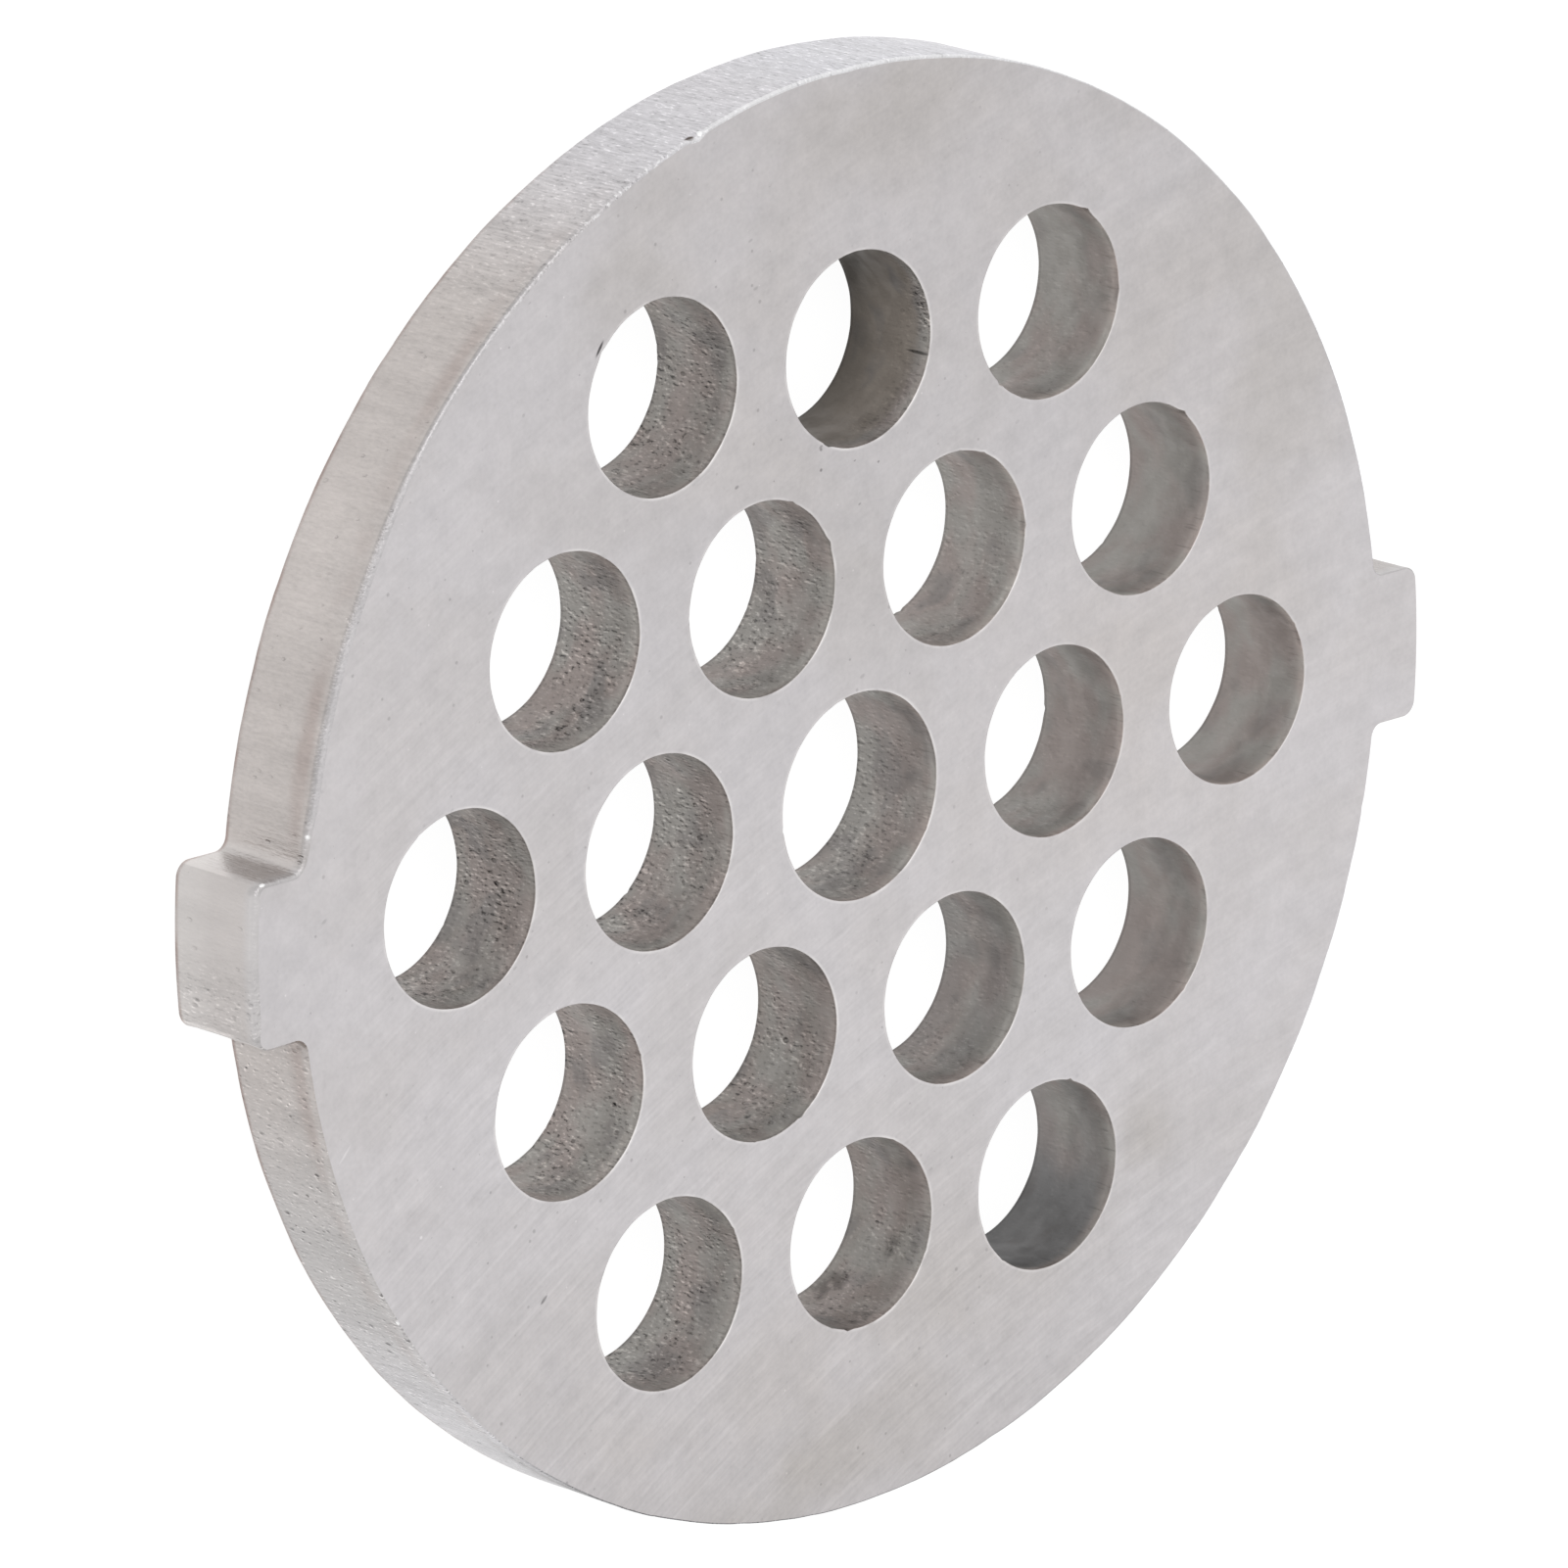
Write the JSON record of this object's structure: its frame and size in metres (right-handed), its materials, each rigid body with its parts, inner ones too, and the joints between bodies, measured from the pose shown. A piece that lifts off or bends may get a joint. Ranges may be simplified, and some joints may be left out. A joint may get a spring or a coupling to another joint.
{
  "type": "meat grinder plate",
  "caption": "Round steel plate with a triangular pattern of through holes, a slightly wider centre hole and opposite lugs on its rim, through which a grinder presses and cuts meat.",
  "frame": {"origin": "on the plate's axis, in the plane of its back face, on which it lies", "axes": "+Z along the plate's axis, out of its front face; +X through a lug, in line with the row of five holes; +Y towards the row of three holes that is at the top of the picture"},
  "size_m": [0.0578, 0.0536, 0.0041],
  "materials": {
    "steel": "ground flat on the faces, dressed on the rim, rough as cast in the holes"
  },
  "bodies": {
    "root": {"grinder_plate": "steel"}
  },
  "joints": []
}
